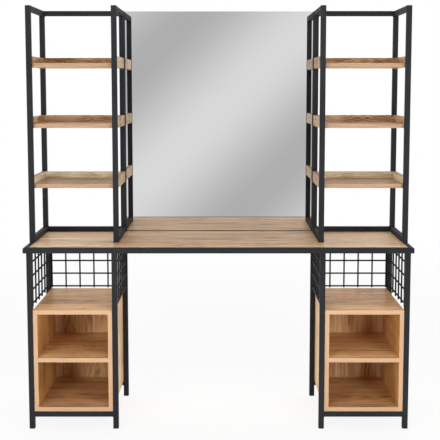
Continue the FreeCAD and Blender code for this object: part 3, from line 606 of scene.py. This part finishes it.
def dress_tray(side, level, seed):
    """A tray: its side boards' grain runs front to back, and its rim and front edges have the edge band."""
    name = f"{side}_{level}_tray"
    low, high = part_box(name)
    middle = (low.x + high.x) / 2
    reach = (high.x - low.x) / 2 - BOARD_THICKNESS - BOARD_EDGE

    def side_boards(t):
        from_middle = t.math("SUBTRACT", t.split(t.object_spot())[0], middle)
        return t.math("GREATER_THAN", t.math("ABSOLUTE", from_middle), reach)

    def rim(t):
        spot = t.split(t.object_spot())
        on_top = t.math("GREATER_THAN", spot[2], high.z - BOARD_EDGE)
        in_front = t.math("LESS_THAN", spot[1], low.y + BOARD_EDGE)
        on_top = t.math("MULTIPLY", upward_faces(t), on_top)
        in_front = t.math("MULTIPLY", front_faces(t), in_front)
        return t.math("MAXIMUM", on_top, in_front)

    flame = ((low.z + high.z + BOARD_THICKNESS) / 2, FLAME_SHARES[level])
    # painted light on the side boards' outer faces and painted shade on the tray's upward faces
    painted_light_faces = [(outer_faces(middle), TRAY_OUTSIDE_PAINTED_LIGHT), (upward_faces, TRAY_FLOOR_PAINTED_SHADE)]
    made = oak_material("oak_" + name, "X", seed, TRAY_LEVEL_PAINTED_LIGHT[level], rim, side_boards, painted_light_faces, flame,
                        TRAY_BAND_TONES, TRAY_GLOSS)
    dress(name, made, BOARD_EDGE)


def dress_boards():
    """The oak boards; gives back the worktop's material."""
    seeds = count(1)
    worktop = oak_material("oak_worktop", "X", next(seeds), WORKTOP_TINT)
    dress("worktop_board", worktop, BOARD_EDGE)
    for side in SIDES:
        dress_cabinet(side, seeds)
        for level in TRAY_LEVELS:
            dress_tray(side, level, next(seeds))
    return worktop


def dress_frames():
    """The powder-coated parts; gives back their material."""
    coat = speckled("powder_coat", COAT_DARK, COAT_LIGHT, roughness=0.64, grain=700.0, relief=0.00006,
                    Specular_IOR_Level=0.2)
    names = [f"worktop_{side}_rail" for side in ("front", "right", "rear", "left")]
    names.append("worktop_bars")
    for side in SIDES:
        names += [f"{side}_{line}_{row}_leg" for line in ("outer", "inner") for row in ("front", "rear")]
        names += [f"{side}_{line}_mesh" for line in ("outer", "inner", "rear")]
        names += [f"{side}_tower_{line}_frame" for line in ("outer", "inner")]
        names += [f"{side}_foot_rails", f"{side}_tower_rear_rails"]
    for name in names:
        dress(name, coat)
    for name in ("tray_brackets", "mirror_ledge"):
        dress(name, coat, PLATE_EDGE)
    return coat


def dress_small_parts():
    """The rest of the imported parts; gives back the screws' material."""
    plastic = speckled("black_plastic", PLASTIC_DARK, PLASTIC_LIGHT, roughness=0.5, grain=500.0,
                       relief=0.00004)
    for name in ("leg_glides", "post_caps", "mirror_spacers"):
        dress(name, plastic, PLATE_EDGE)
    zinc = brushed("zinc_steel", STEEL_DARK, STEEL_LIGHT, cells=(40.0, 40.0, 700.0), Metallic=1.0)
    for name in ("leg_inserts", "leg_screws"):
        dress(name, zinc)
    dress("cabinet_dowels", brushed("beech", BEECH_DARK, BEECH_LIGHT, cells=(60.0, 60.0, 400.0)))
    panel = speckled("black_panel", PANEL_DARK, PANEL_LIGHT, roughness=0.6, grain=420.0, relief=0.00005,
                     Specular_IOR_Level=0.35)
    dress("mirror_backing_board", panel, BOARD_EDGE)
    dress("mirror_glass", mirror_material(), GLASS_EDGE)
    return zinc


# ---- Screws with drives, weld beads and the rear lip -----------------------------------------------

# Shank radius, head height and outward direction of the screws in each node. The mirror's screws are
# countersunk in its backing board, which a head height of 0 stands for, and pan-headed in its ledge.
SCREWS = {
    "tray_screws": (0.002, 0.002, -Z),
    "cabinet_screws": (0.00225, 0.0025, -Z),
    "mirror_screws": (0.0025, 0.0, Y),
}
LEDGE_SHANK, LEDGE_HEAD = 0.002, 0.002
BOLT_SHANK, BOLT_HEAD = 0.003, 0.004
SCREW_TURN, BOLT_TURN = 1.1, 0.7  # radians from one drive to the next
RING_POINTS = 24
CROSS_REACH, CROSS_HALF_WIDTH = 0.56, 0.13  # shares of the head's radius
SOCKET_RADIUS = 0.56  # a share of it too
RECESS_DEPTH = 0.6  # a share of the head's height
RECESS_FLOOR = 0.78  # how far the recess narrows
PAN_TOP, PAN_SHOULDER = 0.72, 0.9  # shares of a pan head's radius
PAN_ROUND, PAN_SIDE = 0.14, 0.5  # how deep its shoulder and its side begin, as shares of its height
TIP_SHARE = 0.5  # how far the shank narrows at its tip
RIM_CHAMFER = 0.0003
MERGE_DISTANCE = 0.000001  # corners that are nearer than this are one corner

BEAD_SIZE = 0.003
BEAD_ROOT = 0.0002
BEAD_LENGTH = TUBE - 0.006
BEAD_STEPS = 40
BEAD_RIPPLES, BEAD_SWELL = 10, 0.1
BEAD_END, BEAD_GROWTH = 0.5, 6  # its size at the ends, and how fast it grows from there
BEAD_ARC = 4

LIP_DEPTH = 0.019
LIP_THICKNESS = 0.001
LIP_ROUND = 0.0003
LIP_SEAM = 0.0003
LIP_END_GAP = 0.001


def circle(radius):
    """The points of a circle."""
    angles = [2 * math.pi * index / RING_POINTS for index in range(RING_POINTS)]
    return [(radius * math.cos(angle), radius * math.sin(angle)) for angle in angles]


def hexagon(radius):
    """A hexagon through the directions of a circle's points."""
    points = []
    for index, (x, y) in enumerate(circle(radius)):
        beyond = 2 * math.pi * index / RING_POINTS % (math.pi / 3)
        shrink = math.cos(math.pi / 6) / math.cos(beyond - math.pi / 6)
        points.append((x * shrink, y * shrink))
    return points


def cross(radius):
    """The outline of a cross drive, point for point beside a circle's."""
    reach, half = radius * CROSS_REACH, radius * CROSS_HALF_WIDTH
    middle = (reach + half) / 2
    quarter = [(reach, 0), (reach, half), (middle, half), (half, half), (half, middle), (half, reach)]
    points = []
    for _ in range(4):
        points += quarter
        quarter = [(-y, x) for x, y in quarter]
    return points


def scaled(points, share):
    """An outline made smaller or larger about its middle."""
    return [(x * share, y * share) for x, y in points]


def loft(mesh, rings, closed=True):
    """A skin over rings of as many points each, with a face on each end, or from the last to the first."""
    rows = [[mesh.verts.new(point) for point in ring] for ring in rings]
    pairs = list(zip(rows, rows[1:]))
    if closed:
        mesh.faces.new(rows[0])
        mesh.faces.new(rows[-1])
    else:
        pairs.append((rows[-1], rows[0]))
    for first, second in pairs:
        for index, corner in enumerate(first):
            after = (index + 1) % len(first)
            mesh.faces.new((corner, first[after], second[after], second[index]))


def add_turned(mesh, top, outwards, turn, profile, closed=True):
    """Lofts outlines at depths under a top point, turned about the outward axis."""
    aside = outwards.cross(X)
    cos, sin = math.cos(turn), math.sin(turn)
    rings = []
    for depth, outline in profile:
        spots = [(x * cos - y * sin, x * sin + y * cos) for x, y in outline]
        rings.append([top + X * x + aside * y - outwards * depth for x, y in spots])
    loft(mesh, rings, closed)


def solids(name):
    """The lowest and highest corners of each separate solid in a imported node."""
    mesh = bmesh.new()
    mesh.from_mesh(NODES[name].data)
    bmesh.ops.remove_doubles(mesh, verts=mesh.verts, dist=MERGE_DISTANCE)
    seen = set()
    for start in mesh.verts:
        if start in seen:
            continue
        seen.add(start)
        solid, queue = [], [start]
        while queue:
            vert = queue.pop()
            solid.append(vert.co.copy())
            for edge in vert.link_edges:
                other = edge.other_vert(vert)
                if other not in seen:
                    seen.add(other)
                    queue.append(other)
        yield Vector(map(min, zip(*solid))), Vector(map(max, zip(*solid)))
    mesh.free()


def add_screw(mesh, low, high, outwards, shank, head_height, turn):
    """A screw that fills the space of a packed one. Head height 0 stands for a countersunk head."""
    middle, half = (low + high) / 2, (high - low) / 2
    radius = half.x
    length = 2 * abs(half.dot(outwards))
    top = middle + outwards * length / 2
    if head_height:
        head = [(0, circle(radius * PAN_TOP)), (head_height * PAN_ROUND, circle(radius * PAN_SHOULDER)),
                (head_height * PAN_SIDE, circle(radius)), (head_height, circle(radius)),
                (head_height, circle(shank))]
    else:
        head_height = radius - shank
        head = [(0, circle(radius - RIM_CHAMFER)), (RIM_CHAMFER, circle(radius)),
                (head_height, circle(shank))]
    drive = cross(radius)
    profile = [(head_height * RECESS_DEPTH, scaled(drive, RECESS_FLOOR)), (0, drive), *head]
    profile += [(length - shank, circle(shank)), (length, circle(shank * TIP_SHARE))]
    add_turned(mesh, top, outwards, turn, profile)


def add_bolt(mesh, low, high, turn):
    """A socket-head bolt that looks down."""
    radius = (high.x - low.x) / 2
    length = high.z - low.z
    top = Vector(((low.x + high.x) / 2, (low.y + high.y) / 2, low.z))
    socket = hexagon(radius * SOCKET_RADIUS)
    profile = [(BOLT_HEAD * RECESS_DEPTH, socket), (0, socket), (0, circle(radius - RIM_CHAMFER)),
               (RIM_CHAMFER, circle(radius)), (BOLT_HEAD, circle(radius)), (BOLT_HEAD, circle(BOLT_SHANK)),
               (length - RIM_CHAMFER, circle(BOLT_SHANK)), (length, circle(BOLT_SHANK - RIM_CHAMFER))]
    add_turned(mesh, top, -Z, turn, profile)


def add_nut(mesh, low, high):
    """A hexagon nut with chamfered corners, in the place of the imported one."""
    radius = (high.x - low.x) / 2
    height = high.z - low.z
    top = Vector(((low.x + high.x) / 2, (low.y + high.y) / 2, high.z))
    bore = circle(BOLT_SHANK)
    worn, full = hexagon(radius - 2 * RIM_CHAMFER), hexagon(radius)
    profile = [(0, bore), (0, worn), (RIM_CHAMFER, full), (height - RIM_CHAMFER, full), (height, worn),
               (height, bore)]
    add_turned(mesh, top, Z, 0.0, profile, closed=False)


def add_bead(mesh, corner, along, first, second):
    """A rippled weld bead in a corner between two faces. First and second point away from them."""
    rings = []
    for step in range(BEAD_STEPS + 1):
        share = step / BEAD_STEPS
        ripple = 1 + BEAD_SWELL * math.sin(2 * math.pi * BEAD_RIPPLES * share)
        size = BEAD_SIZE * ripple * min(1.0, BEAD_END + BEAD_GROWTH * min(share, 1 - share))
        spot = corner + along * ((share - 0.5) * BEAD_LENGTH)
        ring = [spot - (first + second) * BEAD_ROOT]
        for turn in range(BEAD_ARC + 1):
            angle = math.pi / 2 * turn / BEAD_ARC
            ring.append(spot + first * (size * math.cos(angle)) + second * (size * math.sin(angle)))
        rings.append(ring)
    loft(mesh, rings)


def add_piece(name, mesh, made, slot, *replaced):
    """A finished piece on the one body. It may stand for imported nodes."""
    bmesh.ops.recalc_face_normals(mesh, faces=mesh.faces)
    data = bpy.data.meshes.new(name)
    mesh.to_mesh(data)
    mesh.free()
    data.materials.append(made)
    data.shade_smooth()
    data.set_sharp_from_angle(angle=SMOOTH_ANGLE)
    piece = bpy.data.objects.new(name, data)
    bpy.context.scene.collection.objects.link(piece)
    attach(piece, "root")
    if replaced:
        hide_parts(*replaced)


def build_screws(zinc):
    """The screws with cross drives, and the tower bolts with their nuts."""
    for name, (shank, head, outwards) in SCREWS.items():
        mesh = bmesh.new()
        for index, (low, high) in enumerate(solids(name)):
            in_ledge = name == "mirror_screws" and high.y < CAD_HIGH.y - TUBE / 2
            sizes = (LEDGE_SHANK, LEDGE_HEAD) if in_ledge else (shank, head)
            add_screw(mesh, low, high, outwards, *sizes, SCREW_TURN * index)
        add_piece(name + "_with_drives", mesh, zinc, "fastener", name)
    mesh = bmesh.new()
    for index, (low, high) in enumerate(solids("tower_bolts")):
        if low.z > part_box("worktop_board")[1].z:
            add_nut(mesh, low, high)
        else:
            add_bolt(mesh, low, high, BOLT_TURN * index)
    add_piece("tower_bolts_and_nuts", mesh, zinc, "fastener", "tower_bolts")


def build_rear_lip(worktop):
    """A thin oak strip on the worktop's rear rail between the towers, where the photograph shows oak almost
    up to the mirror."""
    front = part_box("worktop_board")[1].y + LIP_SEAM
    rail_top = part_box("worktop_rear_rail")[1].z
    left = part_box("left_tower_inner_frame")[1].x + LIP_END_GAP
    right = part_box("right_tower_inner_frame")[0].x - LIP_END_GAP
    rear, top = front + LIP_DEPTH, rail_top + LIP_THICKNESS
    outline = [(front, rail_top), (front, top - LIP_ROUND), (front + LIP_ROUND, top),
               (rear - LIP_ROUND, top), (rear, top - LIP_ROUND), (rear, rail_top)]
    rings = []
    for x in (left, left + LIP_ROUND, right - LIP_ROUND, right):
        drop = LIP_ROUND if x in (left, right) else 0.0
        rings.append([Vector((x, y, max(rail_top, z - drop))) for y, z in outline])
    mesh = bmesh.new()
    loft(mesh, rings)
    add_piece("worktop_rear_lip", mesh, worktop, "board")


def build_welds(coat):
    """Beads inside the corners of the tower frames, at the towers' rear rails and under the foot rails."""
    for side in SIDES:
        mesh = bmesh.new()
        for line in ("outer", "inner"):
            low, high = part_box(f"{side}_tower_{line}_frame")
            for y, away in ((low.y + TUBE, Y), (high.y - TUBE, -Y)):
                for z, up in ((low.z + TUBE, Z), (high.z - TUBE, -Z)):
                    add_bead(mesh, Vector(((low.x + high.x) / 2, y, z)), X, away, up)
        low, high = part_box(f"{side}_tower_rear_rails")
        for x, away in ((low.x, X), (high.x, -X)):
            for z, up in ((low.z + TUBE, Z), (high.z - TUBE, -Z)):
                add_bead(mesh, Vector((x, (low.y + high.y) / 2, z)), Y, away, up)
        add_piece(f"{side}_tower_welds", mesh, coat, "frame")
        mesh = bmesh.new()
        low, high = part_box(f"{side}_foot_rails")
        for x, away in ((low.x, X), (high.x, -X)):
            for y in (low.y + TUBE / 2, high.y - TUBE / 2):
                add_bead(mesh, Vector((x, y, low.z)), Y, away, -Z)
        add_piece(f"{side}_foot_rail_welds", mesh, coat, "frame")


# ---- Stage -----------------------------------------------------------------------------------------

FLOOR_SIZE = 60.0
FLOOR_CELLS = (1.5, 1.5, 1.5)
FLOOR_FADE = (1.6, 5.5)  # metres from the middle at which it begins and ends
FLOOR_WHITE = 0.86  # how much of the camera's view of it is plain white near the station
WORLD_LIGHT = 0.2  # from the front
BACKDROP_LIGHT = 1.5
BACKDROP_STEP = (0.0, 0.3)  # how far back a direction leads where the backdrop begins and is whole

# The bands that the world shows to reflections from the front
SHEEN_LOW = 0.455
SHEEN_HIGH = 0.745
SHEEN_ACROSS = (1.0, 0.0, -1.05)
SHEEN_START = -0.0238
SHEEN_PERIOD = 0.28

SIDE_LAMP_SPOT = (1.9, -3.3, 1.25)  # of the right one
SIDE_LAMP_AIM = (0.0, 0.0, 0.8)
SIDE_LAMP_SIZE = (0.9, 1.3)
SIDE_LAMP_POWER = 57
TOP_LAMP_SPOT = (0.0, -1.8, 3.9)
TOP_LAMP_SIZE = (3.0, 1.6)
TOP_LAMP_POWER = 46


def add_floor():
    """A pale floor that turns to the plain white of the background away from the station."""
    mesh = bpy.data.meshes.new("floor")
    half = FLOOR_SIZE / 2
    corners = [(-half, -half, 0), (half, -half, 0), (half, half, 0), (-half, half, 0)]
    mesh.from_pydata(corners, [], [(0, 1, 2, 3)])
    floor = bpy.data.objects.new("floor", mesh)
    bpy.context.scene.collection.objects.link(floor)
    floor.visible_glossy = False
    made, t = material("pale_floor")
    spot = t.object_spot()
    tone = t.mix(t.noise(spot, FLOOR_CELLS), colour(FLOOR_LOW), colour(FLOOR_HIGH))
    diffuse = t.add("BsdfDiffuse", {"Color": tone})
    white = t.add("Emission", {"Color": WHITE, "Strength": 1.0})
    seen = t.add("LightPath").outputs["Is Camera Ray"]
    fade = t.step(t.vector("LENGTH", spot), *FLOOR_FADE)
    share = t.math("MULTIPLY", seen, t.math("MULTIPLY_ADD", fade, 1.0 - FLOOR_WHITE, FLOOR_WHITE))
    t.output(t.add("MixShader", {0: share, 1: diffuse.outputs[0], 2: white.outputs[0]}))
    mesh.materials.append(made)


def light_world():
    """White where the camera sees it, soft light for surfaces, and soft slanting bands for reflections."""
    world = bpy.data.worlds.new("studio")
    bpy.context.scene.world = world
    world.use_nodes = True
    t = Tree(world.node_tree)
    direction = t.add("TexCoord").outputs["Generated"]
    behind = t.step(t.split(direction)[1], *BACKDROP_STEP)
    place = t.math("ADD", t.vector("DOT_PRODUCT", direction, SHEEN_ACROSS), SHEEN_START)
    wave = t.math("COSINE", t.math("MULTIPLY", place, 2 * math.pi / SHEEN_PERIOD))
    bands = t.math("MULTIPLY_ADD", wave, (SHEEN_HIGH - SHEEN_LOW) / 2, (SHEEN_HIGH + SHEEN_LOW) / 2)
    bands = t.mix_value(behind, bands, 1.0)
    soft = t.mix_value(behind, WORLD_LIGHT, BACKDROP_LIGHT)
    path = t.add("LightPath").outputs
    strength = t.mix_value(path["Is Glossy Ray"], soft, bands)
    plain = t.math("MAXIMUM", path["Is Camera Ray"], path["Is Transmission Ray"])
    strength = t.mix_value(plain, strength, 1.0)
    t.output(t.add("Background", {"Color": WHITE, "Strength": strength}), "World")


def add_lamp(name, spot, aim, size, power):
    """A soft rectangular lamp that faces a point."""
    data = bpy.data.lights.new(name, "AREA")
    data.shape = "RECTANGLE"
    data.size, data.size_y = size
    data.energy = power
    lamp = bpy.data.objects.new(name, data)
    lamp.location = spot
    lamp.rotation_euler = (Vector(aim) - Vector(spot)).to_track_quat("-Z", "Y").to_euler()
    lamp.visible_glossy = False
    bpy.context.scene.collection.objects.link(lamp)


def add_camera():
    """The camera in front, tilted down a little and shifted for the rest."""
    data = bpy.data.cameras.new("camera")
    data.lens = CAMERA_LENS
    data.sensor_width = CAMERA_SENSOR
    data.shift_x, data.shift_y = CAMERA_SHIFT
    camera = bpy.data.objects.new("camera", data)
    camera.location = (CAMERA_SIDE, CAD_LOW.y - CAMERA_DISTANCE, CAMERA_HEIGHT)
    camera.rotation_euler = (math.pi / 2 - CAMERA_TILT, 0.0, 0.0)
    bpy.context.scene.collection.objects.link(camera)
    bpy.context.scene.camera = camera


def set_stage():
    """The floor, the world, the lamps and the camera."""
    add_floor()
    light_world()
    x, y, z = SIDE_LAMP_SPOT
    for side, sign in SIDES.items():
        add_lamp(f"{side}_lamp", (sign * x, y, z), SIDE_LAMP_AIM, SIDE_LAMP_SIZE, SIDE_LAMP_POWER)
    middle = (0.0, 0.0, CAD_HIGH.z / 2)
    add_lamp("top_lamp", TOP_LAMP_SPOT, middle, TOP_LAMP_SIZE, TOP_LAMP_POWER)
    add_camera()
    bpy.context.scene.view_settings.view_transform = "Standard"


build_rear_lip(dress_boards())
build_welds(dress_frames())
build_screws(dress_small_parts())
set_stage()
